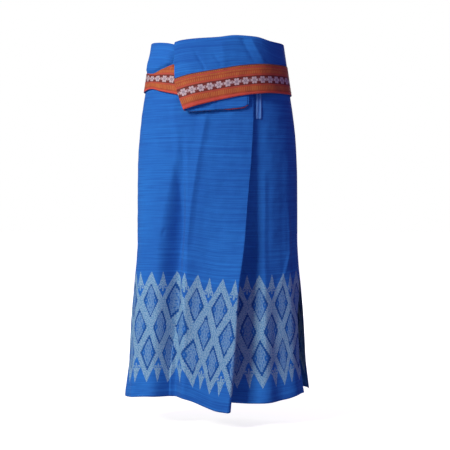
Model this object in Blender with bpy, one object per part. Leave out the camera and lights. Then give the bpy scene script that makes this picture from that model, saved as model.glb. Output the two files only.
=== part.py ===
"""A maxi wrap skirt of woven cotton, hanging in the shape in which it is worn, with its top turned down.

Metres, +Z up, the front towards -Y, +X on the side of the slit. The origin is at the waist, on the
height of the tie. One tube of cloth is lapped over itself at the front, so three layers lie there:
the outer layer comes from the left side and ends in the fold edge, the middle layer runs back under
it, and the inner layer runs on to the side with the slit. The top of each layer is turned down over
the tie, so the order of the layers is the other way round there.
"""

import math

import bmesh
import bpy
import numpy as np

# Thickness of the cloth and the ribbon, the distance between layers, middle to middle, and the gap
# between pieces at a seam.
CLOTH = 0.0010
LAYER = 0.0015
SEAM_GAP = 0.0003
FOLD_GAP = 0.0005  # where a layer stops short of a rolled edge

# Heights. Each layer starts to turn over near TOP_Z. The curves of the top edge and of the hem fade
# out towards TOP_FADE_Z and HEM_FADE_Z.
TOP_Z = 0.046
HEM_Z = -0.820
TOP_FADE_Z = -0.060
HEM_FADE_Z = -0.120

# The power of the figure's rounded sections. 2 is an ellipse, and more is squarer.
SQUARENESS = 2.25

# Angles round the figure, in degrees: 0 is +X, -90 is the front, 90 is the back.
LEFT_SEAM = -190.0
BACK_LEFT_SEAM = 170.0

# The outer layer lifts off over LIFT_WIDTH before the fold edge, and the middle one parts from it over
# ROLL_WIDTH. The inner one falls in beside the edge, deepest HOLLOW_OFFSET past it.
LIFT_WIDTH = 0.100
LIFT_POWER = 1.6
ROLL_WIDTH = 0.035
HOLLOW_OFFSET = 0.012
HOLLOW_LEFT = 0.060
HOLLOW_RIGHT = 0.040

# Left of the lap, the outer layer comes in to the figure over LAP_SLOPE. Right of it, what is turned
# down comes in between the two places.
LAP_SLOPE = 0.024
LAP_RIGHT_START = 0.090
LAP_RIGHT_END = 0.118

# The tie, and its hanging end, which comes in to the inner layer down to TIE_END_LOW_Z.
TIE_HALF_HEIGHT = 0.008
TIE_END_X = 0.0995
TIE_END_HALF_WIDTH = 0.007
TIE_END_TIP_Z = -0.141
TIE_END_THICKNESS = 0.0012
TIE_END_LOW_Z = -0.075

# How finely each region is divided.
ROWS = 16
LEFT_COLUMNS = 17
LAP_COLUMNS = 11
RIGHT_COLUMNS = 17
BACK_COLUMNS = 32
TURN_STEPS = 4
PLAIN_ROWS = 2
RIBBON_ROWS = 3
TIE_END_ROWS = 8
TIE_END_COLUMNS = 4

# A height and the angle there depend on each other, and are worked out in this many rounds.
ROUNDS = 4

COLOURS = {
    "cloth": ((0.030, 0.120, 0.460), 0.75),
    "ribbon": ((0.420, 0.085, 0.030), 0.70),
    "tie": ((0.050, 0.150, 0.500), 0.75),
}


def table(columns, *rows):
    """A table with named columns. The first column rises from row to row."""
    return dict(zip(columns.split(), np.array(rows, float).T))


# The figure's sections, through the middle of a single layer of cloth. Its sides are straight from the
# hip up, so that the layers that are turned down there nest.
FIGURE = table(
    "z half_width front back",
    (-0.850, 0.2320, 0.130, 0.123),
    (-0.821, 0.2305, 0.129, 0.122),
    (-0.791, 0.2270, 0.127, 0.121),
    (-0.731, 0.2200, 0.124, 0.119),
    (-0.671, 0.2170, 0.122, 0.118),
    (-0.611, 0.2135, 0.120, 0.118),
    (-0.551, 0.2080, 0.118, 0.119),
    (-0.491, 0.2020, 0.117, 0.121),
    (-0.431, 0.1990, 0.117, 0.124),
    (-0.371, 0.1990, 0.117, 0.127),
    (-0.281, 0.1985, 0.118, 0.131),
    (-0.221, 0.1965, 0.118, 0.133),
    (-0.180, 0.1940, 0.117, 0.131),
    (-0.130, 0.1884, 0.1164, 0.1229),
    (-0.070, 0.1796, 0.1128, 0.1141),
    (0.060, 0.1605, 0.1050, 0.0950),
)

# The lap. fold_edge is the outer layer's edge, inner_x the hidden fold under it, apart the distance from
# layer to layer, stand_off how far the fold edge stands out from the figure, roll how far apart its two
# layers are, and hollow how deep the inner layer falls in beside it.
LAP = table(
    "z fold_edge inner_x apart stand_off roll hollow",
    (-0.850, 0.0300, -0.072, 0.0030, 0.024, 0.0140, 0.018),
    (-0.700, 0.0430, -0.070, 0.0030, 0.023, 0.0110, 0.022),
    (-0.553, 0.0505, -0.068, 0.0030, 0.019, 0.0070, 0.022),
    (-0.452, 0.0625, -0.066, 0.0030, 0.014, 0.0045, 0.020),
    (-0.334, 0.0720, -0.072, 0.0028, 0.008, 0.0030, 0.014),
    (-0.214, 0.0820, -0.086, 0.0024, 0.004, 0.0024, 0.008),
    (-0.120, 0.0860, -0.097, 0.0018, 0.002, 0.0018, 0.004),
    (-0.060, 0.0860, -0.098, 0.0015, 0.001, 0.0015, 0.001),
    (-0.010, 0.0840, -0.098, 0.0015, 0.000, 0.0015, 0.000),
    (0.060, 0.0800, -0.098, 0.0015, 0.000, 0.0015, 0.000),
)

# The long hollow in the outer layer, left of the fold edge.
HOLLOW = table(
    "z valley_x left_half right_half depth",
    (-0.850, -0.116, 0.056, 0.034, 0.034),
    (-0.611, -0.108, 0.047, 0.030, 0.031),
    (-0.486, -0.106, 0.044, 0.028, 0.027),
    (-0.435, -0.099, 0.048, 0.027, 0.023),
    (-0.385, -0.093, 0.050, 0.026, 0.018),
    (-0.313, -0.089, 0.038, 0.024, 0.010),
    (-0.250, -0.088, 0.030, 0.022, 0.003),
    (-0.200, -0.087, 0.024, 0.020, 0.000),
    (0.060, -0.087, 0.024, 0.020, 0.000),
)

# Soft folds, each from where it starts down to the hem. Places and half widths are in degrees round
# the figure. A positive depth stands out.
FOLD_COLUMNS = "start_z start_angle hem_angle start_half hem_half hem_depth"
FOLDS = (
    (-0.42, -158.0, -152.0, 9.0, 9.0, 0.005),
    (-0.20, -60.0, -61.0, 8.0, 9.0, 0.007),
    (-0.36, -48.0, -50.0, 8.0, 9.0, -0.007),
    (-0.12, -30.0, -36.0, 9.0, 9.0, 0.005),
    (-0.38, 34.0, 40.0, 9.0, 9.0, 0.006),
    (-0.26, 56.0, 60.0, 9.0, 10.0, -0.010),
    (-0.34, 77.0, 78.0, 9.0, 10.0, 0.009),
    (-0.18, 97.0, 98.0, 9.0, 10.0, -0.012),
    (-0.30, 117.0, 117.0, 9.0, 10.0, 0.009),
    (-0.22, 138.0, 135.0, 9.0, 9.0, -0.010),
)

# How much lower or higher than HEM_Z each layer's hem hangs.
OUTER_HEM = table(
    "x drop",
    (-0.230, -0.002),
    (-0.160, 0.006),
    (-0.090, 0.006),
    (-0.065, 0.001),
    (-0.030, -0.012),
    (0.000, -0.022),
    (0.030, -0.025),
)
MIDDLE_HEM = table("x drop", (-0.072, 0.008), (-0.020, 0.000), (0.030, -0.022))
INNER_HEM = table(
    "x drop",
    (-0.072, 0.010),
    (-0.020, 0.002),
    (0.030, -0.006),
    (0.080, -0.008),
    (0.130, -0.006),
    (0.170, 0.000),
    (0.195, 0.008),
    (0.222, 0.012),
)
BACK_HEM = table("x drop", (-0.228, -0.002), (-0.100, 0.006), (0.100, 0.010), (0.230, 0.013))

# How much higher than TOP_Z a layer starts to turn over. The left side dips towards the lap.
LEFT_TOP = table("x rise", (-0.165, 0.005), (-0.120, -0.002), (-0.098, -0.007), (0.080, -0.004))
FRONT_TOP = table(
    "x rise",
    (-0.100, -0.006),
    (-0.085, -0.002),
    (-0.055, 0.001),
    (0.000, 0.002),
    (0.045, 0.006),
    (0.090, 0.003),
    (0.130, -0.002),
    (0.165, 0.000),
)
BACK_TOP = table("x rise", (-0.165, 0.005), (0.000, 0.004), (0.165, 0.000))

# The lower edges of what is turned down, and how high the ribbon along them is.
LEFT_EDGE = table(
    "x z ribbon",
    (-0.178, -0.068, 0.046),
    (-0.160, -0.064, 0.038),
    (-0.137, -0.071, 0.054),
    (-0.098, -0.081, 0.073),
    (-0.030, -0.097, 0.075),
    (0.038, -0.113, 0.075),
    (0.070, -0.104, 0.075),
)
MIDDLE_EDGE = table(
    "x z ribbon",
    (-0.080, -0.1215, 0.076),
    (-0.060, -0.1265, 0.076),
    (-0.031, -0.1250, 0.076),
    (0.000, -0.1225, 0.075),
    (0.038, -0.1195, 0.075),
    (0.070, -0.1040, 0.075),
)
FRONT_EDGE = table(
    "x z ribbon",
    (-0.080, -0.1215, 0.076),
    (-0.041, -0.1090, 0.076),
    (0.019, -0.0950, 0.075),
    (0.067, -0.0870, 0.073),
    (0.128, -0.0800, 0.071),
    (0.178, -0.0770, 0.071),
)
BACK_EDGE = table(
    "x z ribbon",
    (-0.178, -0.068, 0.046),
    (-0.110, -0.070, 0.066),
    (0.000, -0.072, 0.073),
    (0.178, -0.077, 0.071),
)

# How far the two folds of the turned-down lap lean to the right, and over which width this fades.
LEAN = table(
    "z left right",
    (-0.130, 0.036, -0.021),
    (-0.080, 0.019, -0.017),
    (-0.045, 0.009, -0.010),
    (0.040, 0.000, 0.000),
)
LEAN_LEFT_FADE = (0.030, -0.097)
LEAN_RIGHT_FADE = (0.000, 0.079)

# The two edges of the slit, as angles round the figure. Above it they meet in the seam.
SLIT = table(
    "z front_angle back_angle",
    (-0.850, -20.0, -5.0),
    (-0.790, -23.5, -4.0),
    (-0.700, -25.0, -4.0),
    (-0.620, -24.5, -4.5),
    (-0.560, -16.0, -7.5),
    (-0.510, -9.5, -8.9),
    (-0.480, -9.0, -9.0),
    (0.060, -9.0, -9.0),
)


def read(rows, name, at):
    """A column's value at these places, on a smooth curve through its rows that never overshoots them."""
    key = next(iter(rows))
    across, value = rows[key], rows[name]
    rise = np.diff(value) / np.diff(across)
    before, after = rise[:-1], rise[1:]
    same_way = before * after > 0
    total = np.where(same_way, before + after, 1)
    slope = np.concatenate([rise[:1], np.where(same_way, 2 * before * after / total, 0), rise[-1:]])
    at = np.clip(at, across[0], across[-1])
    i = np.clip(np.searchsorted(across, at) - 1, 0, len(across) - 2)
    step = across[i + 1] - across[i]
    t = (at - across[i]) / step
    blend = (3 - 2 * t) * t * t
    bow = step * t * (1 - t) * (slope[i] * (1 - t) - slope[i + 1] * t)
    return value[i] * (1 - blend) + value[i + 1] * blend + bow


def ramp(low, high, at):
    """0 up to low, 1 from high on, and a smooth rise between."""
    t = np.clip((at - low) / (high - low), 0, 1)
    return t * t * (3 - 2 * t)


def hump(t):
    """1 in the middle and 0 from t = -1 and t = 1 on."""
    return 0.5 + 0.5 * np.cos(math.pi * np.clip(t, -1, 1))


def on_figure(angle, z, out):
    """World points at these angles, in radians, and heights, moved out along the section's normal."""
    half_width = read(FIGURE, "half_width", z)
    cosine, sine = np.cos(angle), np.sin(angle)
    depth = np.where(sine < 0, read(FIGURE, "front", z), read(FIGURE, "back", z))
    power = 2 / SQUARENESS
    x = half_width * np.sign(cosine) * np.abs(cosine) ** power
    y = depth * np.sign(sine) * np.abs(sine) ** power
    normal_x = np.sign(cosine) * np.abs(cosine) ** (2 - power) / half_width
    normal_y = np.sign(sine) * np.abs(sine) ** (2 - power) / depth
    length = np.hypot(normal_x, normal_y)
    return np.stack([x + normal_x / length * out, y + normal_y / length * out, z + 0 * angle], axis=-1)


def front_angle(x, z):
    """The angle at which the front of the figure is this far to the side."""
    share = np.clip(np.abs(x) / read(FIGURE, "half_width", z), 0, 1) ** (SQUARENESS / 2)
    return -np.arccos(np.sign(x) * share)


def side_of(angle, z):
    """How far to the side the figure is at this angle."""
    cosine = np.cos(angle)
    return read(FIGURE, "half_width", z) * np.sign(cosine) * np.abs(cosine) ** (2 / SQUARENESS)


def folds(angle, z):
    """How far the soft folds stand out."""
    out = 0 * angle
    for row in FOLDS:
        fold = dict(zip(FOLD_COLUMNS.split(), row))
        grown = np.clip((fold["start_z"] - z) / (fold["start_z"] - HEM_Z), 0, 1)
        middle = fold["start_angle"] + (fold["hem_angle"] - fold["start_angle"]) * grown
        half = fold["start_half"] + (fold["hem_half"] - fold["start_half"]) * grown
        away = (np.degrees(angle) - middle) / half
        out = out + fold["hem_depth"] * np.sin(grown * math.pi / 2) * hump(away)
    return out


def fold_x(z):
    """Where the outer layer ends and its rolled edge starts."""
    return read(LAP, "fold_edge", z) - read(LAP, "roll", z) / 2


def lap_left(x, z):
    """1 where the outer layer lies on the lap's two hidden layers, 0 to their left."""
    inner = read(LAP, "inner_x", z)
    return ramp(inner - LAP_SLOPE, inner - 2 * LAYER, x)


def outer_out(angle, z):
    """How far out the outer layer is."""
    x = side_of(angle, z)
    valley = read(HOLLOW, "valley_x", z)
    half = np.where(x < valley, read(HOLLOW, "left_half", z), read(HOLLOW, "right_half", z))
    lifted = np.clip((x - fold_x(z)) / LIFT_WIDTH + 1, 0, 1) ** LIFT_POWER
    return (
        2 * read(LAP, "apart", z) * lap_left(x, z)
        + read(LAP, "stand_off", z) * lifted
        - read(HOLLOW, "depth", z) * hump((x - valley) / half)
        + folds(angle, z)
    )


def middle_out(angle, z):
    """How far out the middle layer is. It parts from the outer one towards the rolled edge."""
    edge, apart = fold_x(z), read(LAP, "apart", z)
    parting = ramp(edge - ROLL_WIDTH, edge, side_of(angle, z))
    return outer_out(angle, z) - apart - (read(LAP, "roll", z) - apart) * parting


def inner_out(angle, z):
    """How far out the inner layer is: nested under the lap, then falling in beside the fold edge."""
    x, edge = side_of(angle, z), fold_x(z)
    deepest = edge + HOLLOW_OFFSET
    beside = (x - deepest) / np.where(x < deepest, HOLLOW_LEFT, HOLLOW_RIGHT)
    own = folds(angle, z) - read(LAP, "hollow", z) * hump(beside)
    nested = outer_out(angle, z) - 2 * read(LAP, "apart", z)
    low = np.minimum(own, nested)
    parted = ramp(edge - 2 * ROLL_WIDTH, edge - HOLLOW_OFFSET, x)
    past = ramp(edge, edge + HOLLOW_OFFSET, x)
    return nested * (1 - parted) + low * parted + (own - low) * past


def turned_lap(angle, z):
    """1 where the turned-down front lies on the lap, 0 to its left and right."""
    x = side_of(angle, z)
    return lap_left(x, z) * (1 - ramp(LAP_RIGHT_START, LAP_RIGHT_END, x))


def outer_turned(angle, z):
    """How far out the outer layer is once it is turned down, with the tie under it."""
    return outer_out(angle, z) + 2 * LAYER


def middle_turned(angle, z):
    """The same for the middle layer. Two ribbons lie between it and the outer one."""
    return outer_turned(angle, z) + 3 * LAYER


def inner_turned(angle, z):
    """The same for the inner layer, which is the outermost there."""
    return 2 * LAYER + turned_lap(angle, z) * 6 * LAYER


def back_turned(angle, z):
    """The same for the back."""
    return 2 * LAYER + 0 * angle


def left_ends(z):
    """From the left seam to above the lap's hidden fold."""
    return math.radians(LEFT_SEAM) + 0 * z, front_angle(read(LAP, "inner_x", z), z)


def lap_ends(z):
    """From the lap's hidden fold to the fold edge."""
    return front_angle(read(LAP, "inner_x", z), z), front_angle(fold_x(z), z)


def right_ends(z):
    """From the fold edge to the right seam, and below it to the front edge of the slit."""
    return front_angle(fold_x(z), z), np.radians(read(SLIT, "front_angle", z))


def back_ends(z):
    """From the right seam, and below it the back edge of the slit, round to the left seam."""
    gap = SEAM_GAP / read(FIGURE, "front", z)
    return np.radians(read(SLIT, "back_angle", z)) + gap, math.radians(BACK_LEFT_SEAM) - gap


def settled(height, x, top, hem):
    """The heights of points of the body cloth, once its top and hem have their curves."""
    up = np.clip((height - TOP_FADE_Z) / (TOP_Z - TOP_FADE_Z), 0, 1)
    down = np.clip((height - HEM_FADE_Z) / (HEM_Z - HEM_FADE_Z), 0, 1)
    return height + read(top, "rise", x) * up + read(hem, "drop", x) * down


def body(columns, ends_of, out_of, top, hem):
    """Angles, heights and distances of a stretch of body cloth, from the hem up."""
    height = np.linspace(HEM_Z, TOP_Z, ROWS + 1)[:, None] + np.zeros(columns + 1)
    share = np.linspace(0, 1, columns + 1)
    z = height
    for _ in range(ROUNDS):
        start, end = ends_of(z)
        angle = start + (end - start) * share
        z = settled(height, side_of(angle, z), top, hem)
    return angle, z, out_of(angle, z)


def leaned(angle, z, left, right):
    """Angles once the turned-down lap leans. Only the sides that are given as 1 lean."""
    x = side_of(angle, z)
    shift = left * read(LEAN, "left", z) * ramp(*LEAN_LEFT_FADE, x)
    shift = shift + right * read(LEAN, "right", z) * ramp(*LEAN_RIGHT_FADE, x)
    return front_angle(x + shift, z) if left or right else angle


def stretch(columns, ends_of, out_of, turned_of, top, hem, edge, lean=(0, 0)):
    """World points of one layer: from the hem up, over the top and down to the turned-down edge."""
    angle, z, out = body(columns, ends_of, out_of, top, hem)
    rows = list(on_figure(angle, z, out))
    angle, spring, inside = angle[-1], z[-1], out[-1]
    outside = turned_of(angle, spring)
    radius = (outside - inside) / 2
    for step in range(1, TURN_STEPS + 1):
        over = math.pi * step / TURN_STEPS
        out = inside + radius * (1 - math.cos(over))
        rows.append(on_figure(angle, spring + radius * math.sin(over), out))
    lower = spring
    for _ in range(ROUNDS):
        x = side_of(leaned(angle, lower, *lean), lower)
        lower = read(edge, "z", x)
    upper = lower + read(edge, "ribbon", x)
    plain = [spring + (upper - spring) * (i + 1) / PLAIN_ROWS for i in range(PLAIN_ROWS)]
    ribboned = [upper + (lower - upper) * (i + 1) / RIBBON_ROWS for i in range(RIBBON_ROWS)]
    for z in plain + ribboned:
        rows.append(on_figure(leaned(angle, z, *lean), z, outside))
    return np.array(rows)


def rolled(first, second, to_side):
    """The columns of a rolled edge, from one layer's last column round to where the other starts."""
    middle, arm = (first + second) / 2, (first - second) / 2
    reach = np.linalg.norm(arm, axis=-1, keepdims=True) * [to_side, 0, 0]
    columns = []
    for step in range(1, TURN_STEPS + 1):
        turned = math.pi * step / TURN_STEPS
        columns.append(middle + arm * math.cos(turned) + reach * math.sin(turned))
    return np.stack(columns, axis=1)


def drawn_in(points):
    """The grid with its first and last column drawn in by the gap at a fold."""
    points = points.copy()
    for end, beside in ((0, 1), (-1, -2)):
        way = points[:, beside] - points[:, end]
        points[:, end] += way * FOLD_GAP / np.linalg.norm(way, axis=-1, keepdims=True)
    return points


def outer_layer(middle):
    """The outer layer of the front, from the left seam to the rolled fold edge."""
    how = (outer_out, outer_turned, LEFT_TOP, OUTER_HEM, LEFT_EDGE)
    left = stretch(LEFT_COLUMNS, left_ends, *how)
    lap = stretch(LAP_COLUMNS, lap_ends, *how, lean=(0, 1))
    return np.concatenate([left[:, :-1], lap, rolled(lap[:, -1], middle[:, -1], 1)], axis=1)


def middle_layer():
    """The middle layer, from the hidden fold to the fold edge."""
    how = (middle_out, middle_turned, LEFT_TOP, MIDDLE_HEM, MIDDLE_EDGE)
    return stretch(LAP_COLUMNS, lap_ends, *how, lean=(1, 1))


def inner_layer(middle):
    """The inner layer of the front, from the rolled hidden fold to the right seam and the slit."""
    how = (inner_out, inner_turned, FRONT_TOP, INNER_HEM, FRONT_EDGE)
    lap = stretch(LAP_COLUMNS, lap_ends, *how, lean=(1, 0))
    right = stretch(RIGHT_COLUMNS, right_ends, *how)
    hidden_fold = rolled(lap[:, 0], middle[:, 0], -1)[:, ::-1]
    return np.concatenate([hidden_fold, lap[:, :-1], right], axis=1)


def back_layer():
    """The back, from the right seam and the slit round to the left seam."""
    return stretch(BACK_COLUMNS, back_ends, folds, back_turned, BACK_TOP, BACK_HEM, BACK_EDGE)


def course(points, axis):
    """The mean direction in which the grid runs at each point. It is shorter than 1 where the grid bends."""
    step = np.diff(points, axis=axis)
    step /= np.linalg.norm(step, axis=-1, keepdims=True)
    first, last = (step[:1], step[-1:]) if axis == 0 else (step[:, :1], step[:, -1:])
    before = np.concatenate([first, step], axis=axis)
    after = np.concatenate([step, last], axis=axis)
    return (before + after) / 2


def moved(points, distance):
    """The grid moved off its face, to the side that its rows and columns give, with mitred bends."""
    across, along = course(points, 1), course(points, 0)
    stretched = np.linalg.norm(across, axis=-1) * np.linalg.norm(along, axis=-1)
    normal = np.cross(along, across)
    normal /= np.linalg.norm(normal, axis=-1, keepdims=True)
    return points + normal * (distance / stretched)[..., None]


def ribbon_on(layer, side):
    """The ribbon along a layer's turned-down edge, on its outer (1) or inner (-1) face."""
    return moved(layer, side * LAYER)[-RIBBON_ROWS - 1 :]


def level(layer, z):
    """The points of a layer's body cloth at one height."""
    columns = layer[: ROWS + 1].swapaxes(0, 1)
    return np.array([[np.interp(z, column[:, 2], column[:, k]) for k in range(3)] for column in columns])


def over_edge(x):
    """How far what lies on both the fold edge and the inner layer is off the inner one beside the edge."""
    return 2 * LAYER * (1 - ramp(LAP_RIGHT_START, LAP_RIGHT_END, x))


def tie_ring(outer, inner, back):
    """The tie, once round the waist, on the body cloth and under what is turned down."""
    rows = []
    for z in (-TIE_HALF_HEIGHT, 0.0, TIE_HALF_HEIGHT):
        left = level(outer[:, :-TURN_STEPS], z)
        right = level(inner[:, TURN_STEPS + LAP_COLUMNS + 1 :], z)
        ring = np.concatenate([left, right, level(back, z)[1:-1]])
        off = np.concatenate([0 * left[:, 0], over_edge(right[:, 0]), np.zeros(BACK_COLUMNS - 1)])
        along = np.roll(ring, -1, axis=0) - np.roll(ring, 1, axis=0)
        outward = np.stack([along[:, 1], -along[:, 0], 0 * off], axis=1)
        outward /= np.linalg.norm(outward, axis=1, keepdims=True)
        rows.append(ring + outward * (LAYER + off)[:, None])
    return np.array(rows)


def tie_end(inner):
    """The end of the tie, which hangs from under the turned-down front beside the fold edge."""
    x = TIE_END_X + TIE_END_HALF_WIDTH * np.linspace(-1, 1, TIE_END_COLUMNS + 1)
    rows = []
    for z in np.linspace(-TIE_HALF_HEIGHT - SEAM_GAP, TIE_END_TIP_Z, TIE_END_ROWS + 1):
        under = level(inner[:, TURN_STEPS + LAP_COLUMNS :], z)
        rows.append(np.stack([x, np.interp(x, under[:, 0], under[:, 1]), z + 0 * x], axis=1))
    points = np.array(rows)
    come_in = ramp(TIE_END_LOW_Z, -TIE_HALF_HEIGHT, points[..., 2])
    return moved(points, LAYER + over_edge(points[..., 0]) * come_in)


def material_of(kind):
    """The plain material of one kind of piece."""
    found = bpy.data.materials.get(kind)
    if found:
        return found
    colour, roughness = COLOURS[kind]
    made = bpy.data.materials.new(kind)
    made.use_nodes = True
    shader = made.node_tree.nodes["Principled BSDF"]
    shader.inputs["Base Color"].default_value = (*colour, 1)
    shader.inputs["Roughness"].default_value = roughness
    shader.inputs["Metallic"].default_value = 0.0
    return made


def wall(name, points, thickness, kind, ring=False):
    """A closed wall of this thickness whose middle runs through a grid of points."""
    rows, columns = points.shape[:2]
    shape = bmesh.new()
    verts = [[shape.verts.new(point) for point in row] for row in points]
    last = columns if ring else columns - 1
    for i in range(rows - 1):
        for j in range(last):
            k = (j + 1) % columns
            shape.faces.new((verts[i][j], verts[i][k], verts[i + 1][k], verts[i + 1][j]))
    bmesh.ops.recalc_face_normals(shape, faces=shape.faces)
    mesh = bpy.data.meshes.new(name)
    shape.to_mesh(mesh)
    shape.free()
    mesh.shade_smooth()
    mesh.materials.append(material_of(kind))
    piece = bpy.data.objects.new(name, mesh)
    bpy.context.scene.collection.objects.link(piece)
    thicken = piece.modifiers.new("cloth", "SOLIDIFY")
    thicken.thickness = thickness
    thicken.offset = 0.0
    thicken.use_even_offset = True
    return piece


def main():
    for old in list(bpy.data.objects):
        bpy.data.objects.remove(old)
    middle = middle_layer()
    outer, inner, back = outer_layer(middle), inner_layer(middle), back_layer()
    left_and_lap = outer[:, : -TURN_STEPS]
    wall("front_overlap", outer, CLOTH, "cloth")
    wall("lap_inside", drawn_in(middle), CLOTH, "cloth")
    wall("front_underlap", inner, CLOTH, "cloth")
    wall("back_panel", back, CLOTH, "cloth")
    wall("ribbon_left", ribbon_on(left_and_lap, 1), CLOTH, "ribbon")
    wall("ribbon_lap", drawn_in(ribbon_on(middle, -1)), CLOTH, "ribbon")
    wall("ribbon_front", ribbon_on(inner, 1), CLOTH, "ribbon")
    wall("ribbon_back", ribbon_on(back, 1), CLOTH, "ribbon")
    wall("waist_tie", tie_ring(outer, inner, back), CLOTH, "tie", ring=True)
    wall("tie_end", tie_end(inner), TIE_END_THICKNESS, "tie")


main()
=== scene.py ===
import functools
import math

import bmesh
import bpy
import numpy as np
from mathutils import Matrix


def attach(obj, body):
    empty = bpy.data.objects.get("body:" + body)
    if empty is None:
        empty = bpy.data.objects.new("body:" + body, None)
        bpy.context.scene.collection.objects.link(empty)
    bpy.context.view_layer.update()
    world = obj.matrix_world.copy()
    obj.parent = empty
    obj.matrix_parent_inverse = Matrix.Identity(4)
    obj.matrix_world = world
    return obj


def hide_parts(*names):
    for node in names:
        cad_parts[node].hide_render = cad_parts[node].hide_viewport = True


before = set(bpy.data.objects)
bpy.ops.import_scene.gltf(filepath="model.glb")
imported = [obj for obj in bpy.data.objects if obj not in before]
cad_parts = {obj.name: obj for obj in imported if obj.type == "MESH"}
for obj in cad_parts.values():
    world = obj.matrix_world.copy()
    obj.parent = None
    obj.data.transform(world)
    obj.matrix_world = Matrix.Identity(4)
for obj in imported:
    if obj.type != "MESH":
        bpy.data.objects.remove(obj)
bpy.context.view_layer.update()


# Curves and tables. A table has named columns, and its first column rises.
def table(columns, *rows):
    return dict(zip(columns.split(), np.array(rows, float).T))


def read(rows, name, at):  # smooth through the rows, never past them
    across, value = next(iter(rows.values())), rows[name]
    rise = np.diff(value) / np.diff(across)
    before, after = rise[:-1], rise[1:]
    sameWay = before * after > 0
    slope = np.where(sameWay, 2 * before * after / np.where(sameWay, before + after, 1), 0)
    slope = np.concatenate([rise[:1], slope, rise[-1:]])
    at = np.clip(at, across[0], across[-1])
    i = np.clip(np.searchsorted(across, at) - 1, 0, len(across) - 2)
    step = across[i + 1] - across[i]
    t = (at - across[i]) / step
    blend = (3 - 2 * t) * t * t
    bend = step * t * (1 - t) * (slope[i] * (1 - t) - slope[i + 1] * t)
    return value[i] * (1 - blend) + value[i + 1] * blend + bend


def ramp(low, high, at):  # 0 up to low, 1 from high on
    t = np.clip((at - low) / (high - low), 0, 1)
    return t * t * (3 - 2 * t)


def hump(t):  # 1 in the middle, 0 from -1 and 1 on
    return 0.5 + 0.5 * np.cos(math.pi * np.clip(t, -1, 1))


# The figure that the skirt hangs on: rounded sections, straight above the hip.
figure = {
    "squareness": 2.25,
    "hem": -0.82,
    "top": 0.046,
    "topFade": -0.06,
    "hemFade": -0.12,
    "leftSeam": -190.0,  # angles in degrees: 0 is +X, -90 the front
    "backLeftSeam": 170.0,
    "sections": table(
        "z halfWidth front back",
        (-0.85, 0.232, 0.13, 0.123),
        (-0.821, 0.2305, 0.129, 0.122),
        (-0.791, 0.227, 0.127, 0.121),
        (-0.731, 0.22, 0.124, 0.119),
        (-0.671, 0.217, 0.122, 0.118),
        (-0.611, 0.2135, 0.12, 0.118),
        (-0.551, 0.208, 0.118, 0.119),
        (-0.491, 0.202, 0.117, 0.121),
        (-0.431, 0.199, 0.117, 0.124),
        (-0.371, 0.199, 0.117, 0.127),
        (-0.281, 0.1985, 0.118, 0.131),
        (-0.221, 0.1965, 0.118, 0.133),
        (-0.18, 0.194, 0.117, 0.131),
        (-0.13, 0.1884, 0.1164, 0.1229),
        (-0.07, 0.1796, 0.1128, 0.1141),
        (0.06, 0.1605, 0.105, 0.095),
    ),
}


def onFigure(angle, z, out):
    halfWidth = read(figure["sections"], "halfWidth", z)
    cosine, sine = np.cos(angle), np.sin(angle)
    depth = np.where(sine < 0, read(figure["sections"], "front", z), read(figure["sections"], "back", z))
    power = 2 / figure["squareness"]
    x = halfWidth * np.sign(cosine) * np.abs(cosine) ** power
    y = depth * np.sign(sine) * np.abs(sine) ** power
    normalX = np.sign(cosine) * np.abs(cosine) ** (2 - power) / halfWidth
    normalY = np.sign(sine) * np.abs(sine) ** (2 - power) / depth
    length = np.hypot(normalX, normalY)
    return np.stack([x + normalX / length * out, y + normalY / length * out, z + 0 * angle], axis=-1)


def frontAngle(x, z):  # where the front of the figure is this far to the side
    share = np.clip(np.abs(x) / read(figure["sections"], "halfWidth", z), 0, 1) ** (figure["squareness"] / 2)
    return -np.arccos(np.sign(x) * share)


def sideOf(angle, z):
    cosine = np.cos(angle)
    share = np.sign(cosine) * np.abs(cosine) ** (2 / figure["squareness"])
    return read(figure["sections"], "halfWidth", z) * share


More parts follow.
